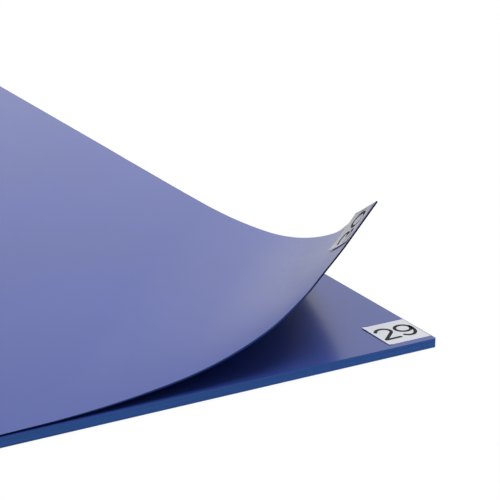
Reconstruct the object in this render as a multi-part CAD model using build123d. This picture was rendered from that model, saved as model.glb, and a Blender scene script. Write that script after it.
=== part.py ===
from build123d import *
from math import cos, degrees, radians, sin
import os

# Cleanroom sticky mat: thin tacky plastic sheets laid one on another in a flat pad.
# Each sheet carries a small square number tab at the same corner.
# The top sheet is being peeled there: it lies flat on the others and its corner curls up.
# Origin: middle of the underside. +X across the width, +Y along the length, +Z up.
# All sizes are millimetres and all angles are degrees.

# Pad of sheets
mat_width = 457.0
mat_length = 914.0
corner_radius = 0.5
sheet_count = 30
film_thickness = 0.09
film_gap = 0.01          # bond line between one film and the next

# Number tabs
tab_side = 15.0
tab_thickness = 0.05
tab_from_front = 2.3     # clear strip between a tab and the short edge
tab_from_side = 0.3      # clear strip between a tab and the long edge
tab_clearance = 0.02     # room around a covered tab in the film above it

# Peeled corner, followed along the film from where it leaves the pad to its tip
peel_angle = 40.35       # from the short edge to the line along which the film curls
film_draw = 0.978        # lifted film draws in: its length for each unit of its flat length
slack_length = 56.0      # first stretch, barely off the pad
slack_radius = 2200.0
rise_length = 30.5
rise_radius = 172.0
bend_length = 33.5
bend_radius = 65.5
heel_length = 5.0        # last stretch, close behind the tab
heel_radius = 22.0
tip_margin = 1.0         # straight film left behind the tab, whose stretch stays flat
outline_steps = 8        # points on each curled edge for each stretch
tip_round_steps = 4      # points round the lifted corner

# Worked out from the sizes above
sheet_pitch = film_thickness + film_gap
stacked_sheets = sheet_count - 1
peeled_underside = stacked_sheets * sheet_pitch
corner_x = mat_width / 2
corner_y = -mat_length / 2
along = Vector(cos(radians(peel_angle)), -sin(radians(peel_angle)), 0)
across = Vector(sin(radians(peel_angle)), cos(radians(peel_angle)), 0)
curl_arcs = [
    (slack_length, slack_radius),
    (rise_length, rise_radius),
    (bend_length, bend_radius),
    (heel_length, heel_radius),
]
tip_length = (
    (tab_from_side + tab_side) * along.X - (tab_from_front + tab_side) * along.Y + tip_margin
)
curl_length = sum(length for length, radius in curl_arcs) + tip_length
tip_slope = degrees(sum(length / radius for length, radius in curl_arcs))
peeled_reach = curl_length / film_draw
lift_line = Vector(corner_x, corner_y, 0) - along * peeled_reach


def curl_at(distance, height=0.0):
    """Run and rise of the film at a distance past the lift line, at a height in its wall."""
    run = 0.0
    rise = 0.0
    slope = 0.0
    left = distance
    for length, radius in curl_arcs:
        step = min(max(left, 0.0), length)
        turned = slope + step / radius
        run += radius * (sin(turned) - sin(slope))
        rise += radius * (cos(slope) - cos(turned))
        slope = turned
        left -= step
    run += left * cos(slope)
    rise += left * sin(slope)
    return run - height * sin(slope), rise + height * cos(slope)


def plan_point(inward_x, inward_y):
    """Where a point of the flat sheet, given inward from its corner, stands in plan."""
    flat = Vector(-inward_x, inward_y, 0)
    run = curl_at(film_draw * (peeled_reach + flat.dot(along)))[0]
    return lift_line + along * run + across * flat.dot(across)


def sheet_outline():
    return RectangleRounded(mat_width, mat_length, corner_radius)


def tab_at_corner(growth=0.0):
    """A tab's outline, placed from the corner of the sheet that carries it."""
    side = tab_side + 2 * growth
    centre_x = -tab_from_side - tab_side / 2
    centre_y = tab_from_front + tab_side / 2
    return Pos(centre_x, centre_y) * Rectangle(side, side)


def stack_sheet(number):
    """One flat sheet of the pad; all but the lowest wrap the tab on the sheet below."""
    underside = (number - 1) * sheet_pitch
    sheet = Pos(0, 0, underside) * extrude(sheet_outline(), film_thickness)
    if number > 1:
        pocket = extrude(tab_at_corner(tab_clearance), tab_thickness)
        sheet -= Pos(corner_x, corner_y, underside) * pocket
    return sheet.solid()


def stack_tab(number):
    """The tab on the top face of a sheet of the pad."""
    seat = (number - 1) * sheet_pitch + film_thickness
    tab = Pos(corner_x, corner_y, seat) * extrude(tab_at_corner(), tab_thickness)
    return tab.solid()


def curl_profile():
    """Section of the peeled film: flat behind the lift line, then the curl, then the tip."""
    reach = mat_width + mat_length

    def wall_line(height):
        edges = [Line((-reach, height), (0, height))]
        for length, radius in curl_arcs:
            start = edges[-1] @ 1
            heading = edges[-1] % 1
            edges.append(JernArc(start, heading, radius - height, degrees(length / radius)))
        edges.append(PolarLine(edges[-1] @ 1, 2 * tip_length, tip_slope))
        return edges

    lower = wall_line(0)
    upper = wall_line(film_thickness)
    ends = [Line(lower[0] @ 0, upper[0] @ 0), Line(lower[-1] @ 1, upper[-1] @ 1)]
    return make_face(lower + upper + ends)


def peeled_outline():
    """The peeled sheet seen from above: three plain corners and the foreshortened curl."""
    distances = []
    for i, (length, radius) in enumerate(curl_arcs):
        start = sum(arc_length for arc_length, arc_radius in curl_arcs[:i])
        distances += [start + length * j / outline_steps for j in range(outline_steps)]
    distances.append(curl_length - tip_length)
    from_tip = [(curl_length - distance) / film_draw for distance in distances]
    front_points = [plan_point(left / along.X, 0) for left in from_tip]
    side_points = [plan_point(0, left / -along.Y) for left in from_tip]

    turns = [radians(90 * i / tip_round_steps) for i in range(tip_round_steps + 1)]
    round_points = [
        plan_point(corner_radius * (1 - sin(turn)), corner_radius * (1 - cos(turn)))
        for turn in turns
    ]
    front_heading = round_points[0] - front_points[-1]
    side_heading = round_points[-1] - side_points[-1]

    far_edges = FilletPolyline(
        side_points[0],
        (corner_x, -corner_y),
        (-corner_x, -corner_y),
        (-corner_x, corner_y),
        front_points[0],
        radius=corner_radius,
    )
    return make_face(
        [
            Spline(*front_points, tangents=[(1, 0, 0), front_heading]),
            Line(front_points[-1], round_points[0]),
            Spline(*round_points, tangents=[front_heading, side_heading * -1]),
            Line(round_points[-1], side_points[-1]),
            Spline(*side_points, tangents=[(0, -1, 0), side_heading]),
            *far_edges.edges(),
        ]
    )


def peeled_sheet():
    """The lifted film: its bent wall, trimmed to the outline of the sheet."""
    section = Plane(
        origin=lift_line + Vector(0, 0, peeled_underside), x_dir=along, z_dir=across * -1
    )
    wall = extrude(section * curl_profile(), mat_width + mat_length, both=True)
    trim = extrude(peeled_outline(), peeled_underside + 2 * curl_length)
    return (wall & trim).solid()


def peeled_tab():
    """The tab on the straight tip of the lifted film."""
    run, rise = curl_at(curl_length, film_thickness)
    uphill = along * cos(radians(tip_slope)) + Vector(0, 0, sin(radians(tip_slope)))
    face = Plane(
        origin=lift_line + along * run + Vector(0, 0, peeled_underside + rise),
        x_dir=uphill * along.X + across * across.X,
        z_dir=uphill.cross(across),
    )
    return (face * extrude(tab_at_corner(), tab_thickness)).solid()


pieces = {
    "pad_sheets": Compound([stack_sheet(number) for number in range(1, sheet_count)]),
    "covered_tabs": Compound([stack_tab(number) for number in range(1, stacked_sheets)]),
    "exposed_tab": stack_tab(stacked_sheets),
    "peeled_sheet": peeled_sheet(),
    "peeled_tab": peeled_tab(),
}

os.makedirs("parts", exist_ok=True)
for name, shape in pieces.items():
    export_step(shape, f"parts/{name}.step")
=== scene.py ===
import bpy
import bmesh
from math import cos, pi, radians, sin, sqrt
from mathutils import Matrix, Vector


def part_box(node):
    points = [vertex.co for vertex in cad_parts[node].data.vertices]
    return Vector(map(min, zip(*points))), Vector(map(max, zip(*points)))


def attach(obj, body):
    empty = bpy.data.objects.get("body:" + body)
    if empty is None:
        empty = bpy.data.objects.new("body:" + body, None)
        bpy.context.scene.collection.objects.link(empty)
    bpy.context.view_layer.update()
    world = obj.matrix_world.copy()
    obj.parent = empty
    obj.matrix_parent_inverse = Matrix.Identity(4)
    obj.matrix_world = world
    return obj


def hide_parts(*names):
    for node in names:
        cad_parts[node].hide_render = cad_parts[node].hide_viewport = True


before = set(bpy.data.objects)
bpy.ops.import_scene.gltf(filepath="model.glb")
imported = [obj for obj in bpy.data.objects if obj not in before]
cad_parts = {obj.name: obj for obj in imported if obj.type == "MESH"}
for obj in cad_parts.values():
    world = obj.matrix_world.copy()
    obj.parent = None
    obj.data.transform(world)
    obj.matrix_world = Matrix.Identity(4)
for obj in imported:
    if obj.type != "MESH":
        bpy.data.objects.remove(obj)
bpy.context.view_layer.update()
mm = 0.001

# the top sheet and its tab, as the solids give them
padLow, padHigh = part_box("pad_sheets")
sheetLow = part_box("peeled_sheet")[0]
tabLow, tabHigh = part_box("exposed_tab")
sheet = {
    "width": padHigh.x - padLow.x,
    "length": padHigh.y - padLow.y,
    "corner": Vector((padHigh.x, padLow.y, sheetLow.z)),  # where the tip lay before it was peeled
    "cornerRadius": 0.5 * mm,
    "film": 0.09 * mm,
    "liftedFilm": 0.5 * mm,  # wall of the lifted corner, coat and cut edge together
    "thickens": (0.22, 0.6),  # shares of the way from the lift line to the tip
    "roundSteps": 10,  # points round each far corner
}

tab = {
    "side": tabHigh.x - tabLow.x,
    "fromSide": padHigh.x - tabHigh.x,
    "fromFront": tabLow.y - padLow.y,
    "thickness": tabHigh.z - tabLow.z,
    "steps": 30,  # squares of its mesh along each side
}


# node expressions


class Term:
    def __init__(self, tree, socket):
        self.tree = tree
        self.socket = socket

    def maths(self, operation, *others):
        node = self.tree.nodes.new("ShaderNodeMath")
        node.operation = operation
        for slot, value in zip(node.inputs, others):
            connect(self.tree, slot, value)
        return Term(self.tree, node.outputs[0])

    def __add__(self, other):
        return self.maths("ADD", self, other)

    def __radd__(self, other):
        return self.maths("ADD", other, self)

    def __sub__(self, other):
        return self.maths("SUBTRACT", self, other)

    def __rsub__(self, other):
        return self.maths("SUBTRACT", other, self)

    def __mul__(self, other):
        return self.maths("MULTIPLY", self, other)

    def __rmul__(self, other):
        return self.maths("MULTIPLY", other, self)

    def __truediv__(self, other):
        return self.maths("DIVIDE", self, other)

    def __rtruediv__(self, other):
        return self.maths("DIVIDE", other, self)

    def sine(self):
        return self.maths("SINE", self)

    def cosine(self):
        return self.maths("COSINE", self)

    def floor(self):
        return self.maths("FLOOR", self)

    def atLeast(self, other):
        return self.maths("MAXIMUM", self, other)

    def atMost(self, other):
        return self.maths("MINIMUM", self, other)

    def between(self, low, high):  # 0 at low, 1 at high, eased
        settings = {"interpolation_type": "SMOOTHSTEP"}
        inputs = {"Value": self, "From Min": low, "From Max": high}
        return makeNode(self.tree, "ShaderNodeMapRange", settings, inputs)["Result"]


def connect(tree, slot, value):
    if isinstance(value, Term):
        tree.links.new(value.socket, slot)
    else:
        slot.default_value = value


def makeNode(tree, kind, settings=None, inputs=None):
    node = tree.nodes.new(kind)
    for name, value in (settings or {}).items():
        setattr(node, name, value)
    for slot, value in (inputs or {}).items():  # a slot is a name, or a number where names repeat
        connect(tree, node.inputs[slot], value)
    return {out.name: Term(tree, out) for out in node.outputs if out.enabled}


def newMaterial(name):
    material = bpy.data.materials.new(name)
    material.use_nodes = True
    material.node_tree.nodes.clear()
    return material, material.node_tree


# materials

liftedFace = {
    "colour": (0.031, 0.059, 0.295),
    "deepColour": (0.029, 0.0555, 0.277),
    "roughness": 0.25,
    "ior": 1.46,
    "cloud": 14.0,  # soft patches, per metre
    "cloudDetail": 3.0,
    "cloudEdges": (0.35, 0.65),
    "cloudRoughness": 0.05,
    "streak": (420.0, 3.0, 1.0),  # faint draw lines along the sheet, per metre
    "streakDetail": 2.0,
    "streakRoughness": 0.04,
    "dimple": 2600.0,  # fine texture of the tacky coat, per metre
    "dimpleDetail": 2.0,
    "dimpleShare": 0.5,  # of the relief, the rest being draw lines
    "relief": 0.2 * mm,
    "bump": 0.04,
}
padFace = {
    **liftedFace,
    "colour": (0.0245, 0.048, 0.228),
    "deepColour": (0.023, 0.045, 0.214),
    "roughness": 0.2,
    "ior": 1.5,
}
padEdge = {
    "colour": (0.022, 0.114, 0.425),
    "deepColour": (0.016, 0.077, 0.295),
    "roughness": 0.5,
    "ior": 1.3,
    "spread": 0.1,  # of roughness
    "pitch": 0.1 * mm,  # one film and its bond line
    "streak": (14.0, 14.0, 900.0),  # uneven bands along the edge, per metre
    "streakDetail": 2.0,
    "streakEdges": (0.3, 0.7),
    "streakShare": 0.6,  # of the tone, the rest being each film's own
    "upright": (0.2, 0.6),  # square of the rise of a face's normal, from side to top
}
# cut edge of the lifted film: its own deep blue low down, with painted shade that darkens it with height
# to near black towards the tip
liftedEdgePaintedShade = {
    "colour": (0.010, 0.013, 0.036),  # painted shade, near black towards the tip
    "deepColour": (0.016, 0.040, 0.170),
    "heights": (16.0 * mm, 32.0 * mm),
    "roughness": 0.5,
    "ior": 1.15,
    "spread": 0.1,
}


def mixColours(tree, share, first, second):
    inputs = {"Factor": share, "A": (*first, 1), "B": (*second, 1)}
    return makeNode(tree, "ShaderNodeMix", {"data_type": "RGBA"}, inputs)["Result"]


def noise(tree, spot, scale, detail):
    inputs = {"Vector": spot, "Scale": scale, "Detail": detail}
    return makeNode(tree, "ShaderNodeTexNoise", inputs=inputs)["Fac"]


def stretched(tree, spot, scale):
    return makeNode(tree, "ShaderNodeMapping", inputs={"Vector": spot, "Scale": scale})["Vector"]


def bumped(tree, strength, distance, height):
    inputs = {"Strength": strength, "Distance": distance, "Height": height}
    return makeNode(tree, "ShaderNodeBump", inputs=inputs)["Normal"]


def plastic(tree, inputs):
    return makeNode(tree, "ShaderNodeBsdfPrincipled", inputs=inputs)["BSDF"]


def mixShaders(tree, share, first, second):
    return makeNode(tree, "ShaderNodeMixShader", inputs={0: share, 1: first, 2: second})["Shader"]


def riseOf(tree, vector):
    return makeNode(tree, "ShaderNodeSeparateXYZ", inputs={"Vector": vector})["Z"]


def filmMaterial(name, face, edge, lifted):
    material, tree = newMaterial(name)
    places = makeNode(tree, "ShaderNodeTexCoord")
    spot = places["UV"] if lifted else places["Object"]
    cloud = noise(tree, spot, face["cloud"], face["cloudDetail"])
    streak = noise(tree, stretched(tree, spot, face["streak"]), 1.0, face["streakDetail"])
    dimple = noise(tree, spot, face["dimple"], face["dimpleDetail"])
    patches = cloud.between(*face["cloudEdges"])
    uneven = (cloud - 0.5) * face["cloudRoughness"] + (streak - 0.5) * face["streakRoughness"]
    relief = dimple * face["dimpleShare"] + streak * (1 - face["dimpleShare"])
    top = plastic(
        tree,
        {
            "Base Color": mixColours(tree, patches, face["deepColour"], face["colour"]),
            "Roughness": face["roughness"] + uneven,
            "IOR": face["ior"],
            "Normal": bumped(tree, face["bump"], face["relief"], relief),
        },
    )

    height = riseOf(tree, places["Object"])
    if lifted:
        # painted shade on the lifted film's cut edge, darker with height
        tone = height.between(*edge["heights"])
        isSide = makeNode(tree, "ShaderNodeAttribute", {"attribute_name": "cutEdge"})["Fac"]
    else:
        layer = (height / edge["pitch"]).floor()
        flatNoise = {"noise_dimensions": "1D"}
        layerTone = makeNode(tree, "ShaderNodeTexWhiteNoise", flatNoise, {"W": layer})["Value"]
        along = stretched(tree, places["Object"], edge["streak"])
        band = noise(tree, along, 1.0, edge["streakDetail"]).between(*edge["streakEdges"])
        tone = band * edge["streakShare"] + layerTone * (1 - edge["streakShare"])
        upward = riseOf(tree, makeNode(tree, "ShaderNodeNewGeometry")["Normal"])
        isSide = 1 - (upward * upward).between(*edge["upright"])
    side = plastic(
        tree,
        {
            "Base Color": mixColours(tree, tone, edge["deepColour"], edge["colour"]),
            "Roughness": edge["roughness"] + (tone - 0.5) * edge["spread"],
            "IOR": edge["ior"],
        },
    )
    makeNode(tree, "ShaderNodeOutputMaterial", inputs={"Surface": mixShaders(tree, isSide, top, side)})
    return material


tabLook = {
    "colour": (0.545, 0.56, 0.61),
    "warmColour": (0.575, 0.58, 0.60),
    "roughness": 0.55,
    "ior": 1.25,
    "spread": 0.1,
    "fibre": 1800.0,  # per metre
    "fibreDetail": 4.0,
    "fibreEdges": (0.3, 0.7),
    "relief": 0.05 * mm,
    "bump": 0.08,
}


def tabMaterial(name, look):
    material, tree = newMaterial(name)
    spot = makeNode(tree, "ShaderNodeTexCoord")["Object"]
    fibre = noise(tree, spot, look["fibre"], look["fibreDetail"])
    flecks = fibre.between(*look["fibreEdges"])
    paper = plastic(
        tree,
        {
            "Base Color": mixColours(tree, flecks, look["colour"], look["warmColour"]),
            "Roughness": look["roughness"] + (fibre - 0.5) * look["spread"],
            "IOR": look["ior"],
            "Normal": bumped(tree, look["bump"], look["relief"], fibre),
        },
    )
    makeNode(tree, "ShaderNodeOutputMaterial", inputs={"Surface": paper})
    return material


inkLook = {
    "colour": (0.008, 0.011, 0.010),
    "wornColour": (0.020, 0.024, 0.023),
    "roughness": 0.6,
    "ior": 1.15,
    "spread": 0.1,
    "grain": 2500.0,  # per metre
    "grainDetail": 2.0,
}


def inkMaterial(name, look):
    material, tree = newMaterial(name)
    spot = makeNode(tree, "ShaderNodeTexCoord")["Object"]
    grain = noise(tree, spot, look["grain"], look["grainDetail"])
    ink = plastic(
        tree,
        {
            "Base Color": mixColours(tree, grain, look["colour"], look["wornColour"]),
            "Roughness": look["roughness"] + (grain - 0.5) * look["spread"],
            "IOR": look["ior"],
        },
    )
    makeNode(tree, "ShaderNodeOutputMaterial", inputs={"Surface": ink})
    return material


padMaterial = filmMaterial("padFilm", padFace, padEdge, False)
liftedMaterial = filmMaterial("liftedFilm", liftedFace, liftedEdgePaintedShade, True)
whiteMaterial = tabMaterial("numberTab", tabLook)
blackMaterial = inkMaterial("numberInk", inkLook)
print("materials made")


# the camera stands where the photograph was taken from

photoCamera = {
    "frame": 500,
    "pixelsPerUnit": 1600.0,  # focal length in pixels of the photograph
    "sensor": 36.0,
    "turn": radians(29.18),
    "dip": radians(19.50),
    "distance": 476.77 * mm,
    "cornerPixel": (436.27, 338.03),
    "cornerHeight": 2.9 * mm,
    "clipStart": 10 * mm,
}


def makeCamera():
    look = photoCamera
    turn = look["turn"]
    dip = look["dip"]
    right = Vector((cos(turn), -sin(turn), 0))
    level = Vector((sin(turn), cos(turn), 0))
    up = Vector((0, 0, 1))
    forward = level * cos(dip) - up * sin(dip)
    upright = level * sin(dip) + up * cos(dip)
    scale = look["distance"] / look["pixelsPerUnit"]
    sideways = (look["cornerPixel"][0] - look["frame"] / 2) * scale
    downwards = (look["cornerPixel"][1] - look["frame"] / 2) * scale
    corner = Vector((sheet["corner"].x, sheet["corner"].y, look["cornerHeight"]))
    place = corner - forward * look["distance"] - right * sideways + upright * downwards
    data = bpy.data.cameras.new("camera")
    data.sensor_width = look["sensor"]
    data.sensor_fit = "HORIZONTAL"
    data.lens = look["pixelsPerUnit"] * look["sensor"] / look["frame"]
    data.clip_start = look["clipStart"]
    camera = bpy.data.objects.new("camera", data)
    bpy.context.scene.collection.objects.link(camera)
    turned = Matrix((right, upright, -forward)).transposed().to_4x4()
    camera.matrix_world = Matrix.Translation(place) @ turned
    bpy.context.scene.camera = camera


makeCamera()
print("camera placed")


# the curl, followed along the film from the lift line to the tip
curl = {
    "angle": radians(40.35),
    "draw": 0.978,  # lifted film draws in: its length for each unit of its flat length
    "stretches": [  # length and radius of each arc
        (56 * mm, 2200 * mm),
        (30.5 * mm, 172 * mm),
        (33.5 * mm, 65.5 * mm),
        (5 * mm, 22 * mm),
    ],
    "tipMargin": 1.0 * mm,  # straight film left behind the tab
    "droop": 0.32,  # how far the film turns down towards its front edge, as a share of its slope
    "droopPower": 4,  # how closely that turn keeps to the edge
    "droopEnd": (0.78, 0.89),  # shares of the way from the lift line to the tip
    "fill": 0.65 * mm,  # how far the film rounds off the hollow of its last bend
    "fillSpan": (0.73, 0.92),  # shares of the way
    "rowStep": 0.9 * mm,  # from one row of points to the next, up to the tip
    "tipRows": 16,
    "columns": 32,  # faces in each row
}

alongCurl = Vector((cos(curl["angle"]), -sin(curl["angle"]), 0))
tipLength = (tab["fromSide"] + tab["side"]) * cos(curl["angle"]) + curl["tipMargin"]
tipLength += (tab["fromFront"] + tab["side"]) * sin(curl["angle"])
curlLength = sum(length for length, radius in curl["stretches"]) + tipLength
peeledReach = curlLength / curl["draw"]  # from the flat corner back to the lift line
liftPoint = sheet["corner"] - alongCurl * peeledReach


def curlTree():
    # bends any flat piece that lies on the top sheet
    tree = bpy.data.node_groups.new("curlFilm", "GeometryNodeTree")
    face = tree.interface
    face.new_socket("Geometry", in_out="INPUT", socket_type="NodeSocketGeometry")
    face.new_socket("Lift point", in_out="INPUT", socket_type="NodeSocketVector")
    face.new_socket("Along", in_out="INPUT", socket_type="NodeSocketVector")
    face.new_socket("Draw", in_out="INPUT", socket_type="NodeSocketFloat")
    for i in range(len(curl["stretches"])):
        face.new_socket(f"Length {i + 1}", in_out="INPUT", socket_type="NodeSocketFloat")
        face.new_socket(f"Radius {i + 1}", in_out="INPUT", socket_type="NodeSocketFloat")
    face.new_socket("Material", in_out="INPUT", socket_type="NodeSocketMaterial")
    face.new_socket("Geometry", in_out="OUTPUT", socket_type="NodeSocketGeometry")
    given = makeNode(tree, "NodeGroupInput")

    def vectorMaths(operation, out, first, second):
        inputs = {0: first, "Scale" if operation == "SCALE" else 1: second}
        return makeNode(tree, "ShaderNodeVectorMath", {"operation": operation}, inputs)[out]

    place = makeNode(tree, "GeometryNodeInputPosition")["Position"]
    fromLift = vectorMaths("SUBTRACT", "Vector", place, given["Lift point"])
    distance = vectorMaths("DOT_PRODUCT", "Value", fromLift, given["Along"])
    height = riseOf(tree, fromLift)
    left = distance.atLeast(0.0) * given["Draw"]
    slope = distance * 0
    run = distance.atMost(0.0)
    rise = distance * 0
    for i in range(len(curl["stretches"])):
        radius = given[f"Radius {i + 1}"]
        step = left.atLeast(0.0).atMost(given[f"Length {i + 1}"])
        turned = slope + step / radius
        run = run + radius * (turned.sine() - slope.sine())
        rise = rise + radius * (slope.cosine() - turned.cosine())
        slope = turned
        left = left - step
    run = run + left * slope.cosine() - height * slope.sine()
    rise = rise + left * slope.sine() + height * slope.cosine()
    lean = vectorMaths("SCALE", "Vector", given["Along"], run - distance)
    lift = makeNode(tree, "ShaderNodeCombineXYZ", inputs={"Z": rise - height})["Vector"]
    shift = vectorMaths("ADD", "Vector", lean, lift)
    inputs = {"Geometry": given["Geometry"], "Offset": shift}
    moved = makeNode(tree, "GeometryNodeSetPosition", inputs=inputs)["Geometry"]
    whole = makeNode(tree, "GeometryNodeRealizeInstances", inputs={"Geometry": moved})["Geometry"]
    inputs = {"Geometry": whole, "Material": given["Material"]}
    finished = makeNode(tree, "GeometryNodeSetMaterial", inputs=inputs)["Geometry"]
    makeNode(tree, "NodeGroupOutput", inputs={"Geometry": finished})
    return tree


def curlPiece(piece, tree, material):
    # bends the piece with the tree, and leaves it a plain mesh
    values = {"Lift point": liftPoint, "Along": alongCurl, "Draw": curl["draw"], "Material": material}
    for i, (length, radius) in enumerate(curl["stretches"]):
        values[f"Length {i + 1}"] = length
        values[f"Radius {i + 1}"] = radius
    bend = piece.modifiers.new("curl", "NODES")
    bend.node_group = tree
    for socket in tree.interface.items_tree:
        if socket.in_out == "INPUT" and socket.name in values:
            bend[socket.identifier] = values[socket.name]
    seen = piece.evaluated_get(bpy.context.evaluated_depsgraph_get())
    mesh = bpy.data.meshes.new_from_object(seen)
    piece.modifiers.clear()
    piece.data = mesh
    return piece


# pieces made flat


def linkPiece(name, mesh):
    piece = bpy.data.objects.new(name, mesh)
    bpy.context.scene.collection.objects.link(piece)
    return piece


crispAngle = radians(30)


def markEdges(mesh):
    # smooth faces that stay crisp along every edge sharper than the crisp angle
    form = bmesh.new()
    form.from_mesh(mesh)
    for face in form.faces:
        face.smooth = True
    for edge in form.edges:
        edge.smooth = len(edge.link_faces) == 2 and edge.calc_face_angle(0) < crispAngle
    form.to_mesh(mesh)
    form.free()


def rowEnds(left):
    # the two ends of a line across the corner, as distances inward from the sharp corner
    radius = sheet["cornerRadius"]
    angle = curl["angle"]
    front = Vector((left / cos(angle), 0))
    side = Vector((0, left / sin(angle)))
    middle = Vector((radius, radius))
    toLine = radius * (cos(angle) + sin(angle)) - left
    foot = middle - Vector((cos(angle), sin(angle))) * toLine
    half = sqrt(max(radius ** 2 - toLine ** 2, 0))
    alongLine = Vector((sin(angle), -cos(angle)))
    if front.x < radius:
        front = foot + alongLine * half
    if side.y < radius:
        side = foot - alongLine * half
    return front, side


def shareOf(value, low, high):
    return min(max((value - low) / (high - low), 0), 1)


def eased(value, low, high):
    share = shareOf(value, low, high)
    return share ** 2 * (3 - 2 * share)


def slopeAt(distance):
    # slope of the plain curl at a distance along it from the lift line
    slope = 0
    for length, radius in curl["stretches"]:
        slope += min(max(distance, 0), length) / radius
        distance -= length
    return slope


def crown(spot):
    # how far the lifted film stands off its plain curl at a spot of the flat sheet
    inward = Vector((sheet["corner"].x - spot.x, spot.y - sheet["corner"].y))
    acrossLine = inward.y * sin(curl["angle"])
    left = inward.x * cos(curl["angle"]) + acrossLine  # to the tip
    way = 1 - left / peeledReach
    breadth = left / sin(curl["angle"]) / cos(curl["angle"])
    share = acrossLine / left  # of the breadth, from the front edge
    droop = curl["droop"] * slopeAt(curlLength * way) * (1 - eased(way, *curl["droopEnd"]))
    power = curl["droopPower"] + 1
    swell = droop * breadth * (1 - (1 - share) ** power - share) / power
    fill = curl["fill"] * sin(pi * shareOf(way, *curl["fillSpan"])) ** 2 * (1 - share ** 2)
    return swell + fill


def flatSheet():
    # the whole top sheet laid flat, with rows of points where it will curl
    radius = sheet["cornerRadius"]
    angle = curl["angle"]
    last = radius * (cos(angle) + sin(angle) - 1)
    bulk = peeledReach - 2 * radius
    count = round(bulk / curl["rowStep"])
    distances = [bulk * i / count for i in range(count + 1)]
    tipReach = peeledReach - last - bulk
    distances += [bulk + tipReach * sin(pi / 2 * i / curl["tipRows"]) for i in range(1, curl["tipRows"])]

    def thickness(distance):
        share = eased(distance / peeledReach, *sheet["thickens"])
        return sheet["film"] + (sheet["liftedFilm"] - sheet["film"]) * share

    form = bmesh.new()
    corner = sheet["corner"]

    def addPair(inward, distance):
        # the points of the upper and lower face there
        place = Vector((corner.x - inward[0], corner.y + inward[1], corner.z + sheet["film"]))
        if distance > 0:
            place.z += crown(place)
        low = place.copy()
        low.z -= thickness(distance)
        return form.verts.new(place), form.verts.new(low)

    rows = []
    for distance in distances:
        front, side = rowEnds(peeledReach - distance)
        row = []
        for j in range(curl["columns"] + 1):
            row.append(addPair(front.lerp(side, j / curl["columns"]), distance))
        rows.append(row)
    tip = addPair(Vector((radius, radius)) - Vector((cos(angle), sin(angle))) * radius, peeledReach)

    cutEdge = form.faces.layers.float.new("cutEdge")

    def addWall(first, second):
        form.faces.new((first[0], first[1], second[1], second[0]))[cutEdge] = 1.0

    for row, nextRow in zip(rows[:-1], rows[1:]):
        for j in range(curl["columns"]):
            form.faces.new((row[j][0], nextRow[j][0], nextRow[j + 1][0], row[j + 1][0]))
            form.faces.new((row[j][1], row[j + 1][1], nextRow[j + 1][1], nextRow[j][1]))
        addWall(row[0], nextRow[0])
        addWall(nextRow[-1], row[-1])
    for j in range(curl["columns"]):
        form.faces.new((rows[-1][j][0], tip[0], rows[-1][j + 1][0]))
        form.faces.new((rows[-1][j][1], rows[-1][j + 1][1], tip[1]))
    addWall(rows[-1][0], tip)
    addWall(tip, rows[-1][-1])

    rim = []
    for centreX, centreY, start in (
        (radius, sheet["length"] - radius, 0),
        (sheet["width"] - radius, sheet["length"] - radius, 90),
        (sheet["width"] - radius, radius, 180),
    ):
        for i in range(sheet["roundSteps"] + 1):
            turn = radians(start + 90 * i / sheet["roundSteps"])
            rim.append(addPair((centreX - radius * cos(turn), centreY + radius * sin(turn)), 0))
    loop = rows[0] + rim
    form.faces.new([pair[0] for pair in loop])
    form.faces.new([pair[1] for pair in reversed(loop)])
    around = [rows[0][-1]] + rim + [rows[0][0]]
    for pair, nextPair in zip(around[:-1], around[1:]):
        addWall(pair, nextPair)

    bmesh.ops.recalc_face_normals(form, faces=form.faces)
    spots = form.loops.layers.uv.new("flat")
    for face in form.faces:
        for loopEnd in face.loops:
            loopEnd[spots].uv = (loopEnd.vert.co.x, loopEnd.vert.co.y)
    mesh = bpy.data.meshes.new("peeledFilm")
    form.to_mesh(mesh)
    form.free()
    return linkPiece("peeledFilm", mesh)


# how far each tab's edges have come off the film
exposedLoose = {
    "inner": (0.14 * mm, 0.24 * mm),  # at the front and back ends of the inner edge
    "outer": (0.0, 0.0),
    "bow": 0.0,  # more of it, half way along the outer edge
    "width": 2.0 * mm,  # of the strip that has come off along either edge
    "back": 0.0,  # all along the back edge
    "backInner": 0.1,  # share of that at its inner end
    "backPower": 3,  # how soon it rises from there to the whole
    "backWidth": 2.0 * mm,
}
peeledLoose = {
    **exposedLoose,
    "inner": (0.16 * mm, 0.3 * mm),
    "outer": (0.1 * mm, 0.1 * mm),
    "bow": 0.35 * mm,
    "width": 4.0 * mm,
    "back": 1.1 * mm,
    "backWidth": 11.0 * mm,
}


def tabLift(loose, across, up):
    # how far a tab stands off the film, at shares of its side from its inner and front edges
    nearBack = max(1 - (1 - up) * tab["side"] / loose["backWidth"], 0)
    spared = (1 - loose["backInner"]) * (1 - across) ** loose["backPower"]
    lift = nearBack ** 2 * loose["back"] * (1 - spared)
    sides = ((loose["inner"], 0, across), (loose["outer"], loose["bow"], 1 - across))
    for (front, back), bow, far in sides:
        near = max(1 - far * tab["side"] / loose["width"], 0)
        lift += near ** 2 * (front + (back - front) * up + bow * sin(pi * up))
    return lift


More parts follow.
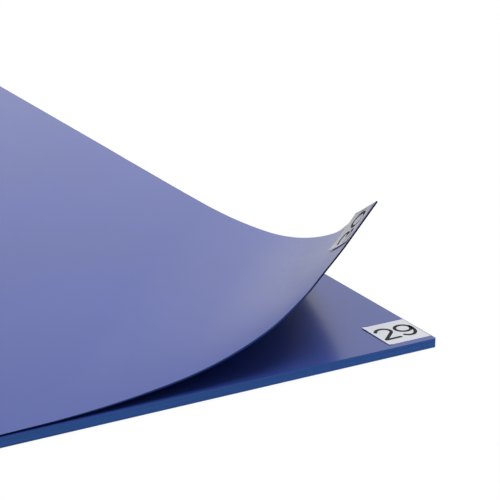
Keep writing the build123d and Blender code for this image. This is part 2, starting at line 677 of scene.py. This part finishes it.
def flatTab(name, seat, loose):
    form = bmesh.new()
    low = Vector((tabLow.x, tabLow.y, seat))
    steps = tab["steps"]
    grid = []
    for i in range(steps + 1):
        column = []
        for j in range(steps + 1):
            lift = tabLift(loose, i / steps, j / steps)
            place = low + Vector((tab["side"] * i / steps, tab["side"] * j / steps, lift))
            top = place + Vector((0, 0, tab["thickness"]))
            column.append((form.verts.new(top), form.verts.new(place)))
        grid.append(column)
    for i in range(steps):
        for j in range(steps):
            a, b, c, d = grid[i][j], grid[i + 1][j], grid[i + 1][j + 1], grid[i][j + 1]
            form.faces.new((a[0], b[0], c[0], d[0]))
            form.faces.new((a[1], d[1], c[1], b[1]))
    edge = [grid[i][0] for i in range(steps)]
    edge += [grid[steps][j] for j in range(steps)]
    edge += [grid[i][steps] for i in range(steps, 0, -1)]
    edge += [grid[0][j] for j in range(steps, 0, -1)]
    for pair, nextPair in zip(edge, edge[1:] + edge[:1]):
        form.faces.new((pair[0], pair[1], nextPair[1], nextPair[0]))
    bmesh.ops.recalc_face_normals(form, faces=form.faces)
    mesh = bpy.data.meshes.new(name)
    form.to_mesh(mesh)
    form.free()
    return linkPiece(name, mesh)


# each digit is a few round-ended pen strokes in a box one digit wide and one high:
# an arc gives its centre, its radii and its first and last angle, a straight its end
digits = {
    "width": 5.1 * mm,  # sizes are to the middle of the stroke
    "height": 7.65 * mm,
    "spacing": 6.8 * mm,
    "stroke": 1.1 * mm,
    "relief": 0.012 * mm,
    "sunk": 0.02 * mm,
    "arcStep": 8,  # degrees
    "endRows": 5,
    "endWidth": 0.02,  # of the last row, as a share of the stroke
    "0": [[((0.5, 0.5), (0.5, 0.5), 90, 450)]],
    "2": [[((0.49, 0.72), (0.49, 0.28), 165, -42), (0.0, 0.0)], [(0.0, 0.0), (1.0, 0.0)]],
    "3": [[((0.47, 0.75), (0.45, 0.25), 160, -80), ((0.45, 0.27), (0.53, 0.27), 80, -155)]],
    "9": [[((0.5, 0.69), (0.5, 0.31), 90, 450)], [((0.44, 0.6), (0.61, 0.61), 18, -128)]],
}


def strokePath(stroke, place):
    # the middle line of a pen stroke, with the digit's lower left corner at the place
    path = []
    for part in stroke:
        if len(part) == 2:
            path.append(part)
            continue
        (centreX, centreY), (radiusX, radiusY), first, last = part
        count = round(abs(last - first) / digits["arcStep"])
        for i in range(count + 1):
            turn = radians(first + (last - first) * i / count)
            path.append((centreX + radiusX * cos(turn), centreY + radiusY * sin(turn)))
    return [place + Vector((digits["width"] * x, digits["height"] * y)) for x, y in path]


def strokeRows(path, closed):
    # places along the stroke, each with the line's heading and half the stroke's width there
    half = digits["stroke"] / 2
    count = len(path)
    rows = []
    for i, spot in enumerate(path):
        before = path[(i - 1) % count] if closed else path[max(i - 1, 0)]
        after = path[(i + 1) % count] if closed else path[min(i + 1, count - 1)]
        rows.append((spot, (after - before).normalized(), half))
    if closed:
        return rows
    for i in range(1, digits["endRows"] + 1):
        turn = pi / 2 * i / digits["endRows"]
        first, last = rows[0], rows[-1]
        start = path[0] - first[1] * half * sin(turn)
        end = path[-1] + last[1] * half * sin(turn)
        width = half * max(cos(turn), digits["endWidth"])
        rows = [(start, first[1], width)] + rows + [(end, last[1], width)]
    return rows


def flatNumber(name, number, seat, loose):
    form = bmesh.new()
    middle = Vector(((tabLow.x + tabHigh.x) / 2, (tabLow.y + tabHigh.y) / 2))

    def addPoint(spot, rise):
        across = (spot.x - tabLow.x) / tab["side"]
        up = (spot.y - tabLow.y) / tab["side"]
        return form.verts.new((spot.x, spot.y, seat + tabLift(loose, across, up) + rise))

    for i, digit in enumerate(number):
        left = middle.x + (i - (len(number) - 1) / 2) * digits["spacing"] - digits["width"] / 2
        place = Vector((left, middle.y - digits["height"] / 2))
        for stroke in digits[digit]:
            path = strokePath(stroke, place)
            closed = (path[0] - path[-1]).length < digits["relief"]
            if closed:
                path = path[:-1]
            rings = []
            for spot, heading, half in strokeRows(path, closed):
                side = Vector((-heading.y, heading.x)) * half
                ring = [(spot + side, digits["relief"]), (spot - side, digits["relief"])]
                ring += [(spot - side, -digits["sunk"]), (spot + side, -digits["sunk"])]
                rings.append([addPoint(corner, rise) for corner, rise in ring])
            pairs = list(zip(rings[:-1], rings[1:]))
            if closed:
                pairs.append((rings[-1], rings[0]))
            else:
                form.faces.new(rings[0])
                form.faces.new(rings[-1])
            for ring, nextRing in pairs:
                for j in range(len(ring)):
                    form.faces.new((ring[j], ring[j - 1], nextRing[j - 1], nextRing[j]))
    bmesh.ops.recalc_face_normals(form, faces=form.faces)
    mesh = bpy.data.meshes.new(name)
    form.to_mesh(mesh)
    form.free()
    return linkPiece(name, mesh)


def seatOnFilm(piece):
    # a tab keeps its size while the film under it draws in, and follows the film's crown
    toCorner = Matrix.Translation(sheet["corner"])
    longer = Matrix.Scale(1 / curl["draw"], 4, alongCurl)
    piece.data.transform(toCorner @ longer @ toCorner.inverted())
    for vertex in piece.data.vertices:
        vertex.co.z += crown(vertex.co)
    return piece


bend = curlTree()
peeledFilm = curlPiece(flatSheet(), bend, liftedMaterial)
print("peeled film curled")

filmTop = sheet["corner"].z + sheet["film"]
inkSeat = filmTop + tab["thickness"]
peeledTab = curlPiece(seatOnFilm(flatTab("peeledTab", filmTop, peeledLoose)), bend, whiteMaterial)
peeledNumber = flatNumber("peeledNumber", "30", inkSeat, peeledLoose)
peeledNumber = curlPiece(seatOnFilm(peeledNumber), bend, blackMaterial)
exposedTab = flatTab("exposedTab", tabLow.z, exposedLoose)
exposedTab.data.materials.append(whiteMaterial)
exposedNumber = flatNumber("exposedNumber", "29", tabHigh.z, exposedLoose)
exposedNumber.data.materials.append(blackMaterial)
for piece in (peeledFilm, peeledTab, exposedTab):
    markEdges(piece.data)
print("tabs and numbers made")

for name, material in (("pad_sheets", padMaterial), ("covered_tabs", whiteMaterial)):
    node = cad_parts[name]
    for slot in node.material_slots:
        slot.material = material

for piece in (peeledFilm, peeledTab, peeledNumber, exposedTab, exposedNumber):
    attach(piece, "root")
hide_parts("peeled_sheet")
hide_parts("peeled_tab")
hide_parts("exposed_tab")


# studio

studio = {
    "horizonLight": 0.13,  # brightness of the sky for the light that it casts
    "zenithLight": 0.54,
    "zenithFrom": 0.8,  # rise of the direction from which the sky is as bright as overhead
    "floorColour": (0.86, 0.86, 0.86),
    "floorGlow": 0.9,  # share of white that hides the grey of a lit floor
    "floorMirrored": 0.75,  # brightness of the glow in a reflection
    "floorSize": 30.0,
    "floorHeight": -0.05 * mm,  # just clear of the underside of the pad
}
lamps = [
    {"name": "overhead", "place": (0.93, -0.3, 1.6), "size": 0.8, "power": 28.0},
]


def seenShare(tree):
    # 1 for what the camera sees, straight or in a reflection, and 0 for light cast on things
    ray = makeNode(tree, "ShaderNodeLightPath")
    return ray["Is Camera Ray"].atLeast(ray["Is Glossy Ray"]).atLeast(ray["Is Transmission Ray"])


def makeWorld():
    world = bpy.data.worlds.new("studio")
    bpy.context.scene.world = world
    world.use_nodes = True
    tree = world.node_tree
    tree.nodes.clear()
    upward = riseOf(tree, makeNode(tree, "ShaderNodeTexCoord")["Generated"])
    sky = upward.between(0.0, studio["zenithFrom"]) * (studio["zenithLight"] - studio["horizonLight"])
    sky = sky + studio["horizonLight"]
    strength = sky + seenShare(tree) * (1 - sky)
    inputs = {"Color": (1, 1, 1, 1), "Strength": strength}
    back = makeNode(tree, "ShaderNodeBackground", inputs=inputs)["Background"]
    makeNode(tree, "ShaderNodeOutputWorld", inputs={"Surface": back})


def makeFloor():
    half = studio["floorSize"] / 2
    mesh = bpy.data.meshes.new("floor")
    rise = studio["floorHeight"]
    corners = [(-half, -half, rise), (half, -half, rise), (half, half, rise), (-half, half, rise)]
    mesh.from_pydata(corners, [], [(0, 1, 2, 3)])
    floor = linkPiece("floor", mesh)
    material, tree = newMaterial("floor")
    plain = makeNode(tree, "ShaderNodeBsdfDiffuse", inputs={"Color": (*studio["floorColour"], 1)})["BSDF"]
    mirrored = studio["floorMirrored"]
    brightness = makeNode(tree, "ShaderNodeLightPath")["Is Camera Ray"] * (1 - mirrored) + mirrored
    inputs = {"Color": (1, 1, 1, 1), "Strength": brightness}
    glow = makeNode(tree, "ShaderNodeEmission", inputs=inputs)["Emission"]
    mixed = mixShaders(tree, seenShare(tree) * studio["floorGlow"], plain, glow)
    makeNode(tree, "ShaderNodeOutputMaterial", inputs={"Surface": mixed})
    mesh.materials.append(material)


def makeLamp(lamp):
    light = bpy.data.lights.new(lamp["name"], "AREA")
    light.shape = "DISK"
    light.size = lamp["size"]
    light.energy = lamp["power"]
    holder = bpy.data.objects.new(lamp["name"], light)
    place = Vector(lamp["place"])
    holder.location = place
    holder.rotation_euler = (sheet["corner"] - place).to_track_quat("-Z", "Y").to_euler()
    bpy.context.scene.collection.objects.link(holder)


makeWorld()
makeFloor()
for lamp in lamps:
    makeLamp(lamp)
bpy.context.scene.view_settings.view_transform = "Standard"
print("studio lit")
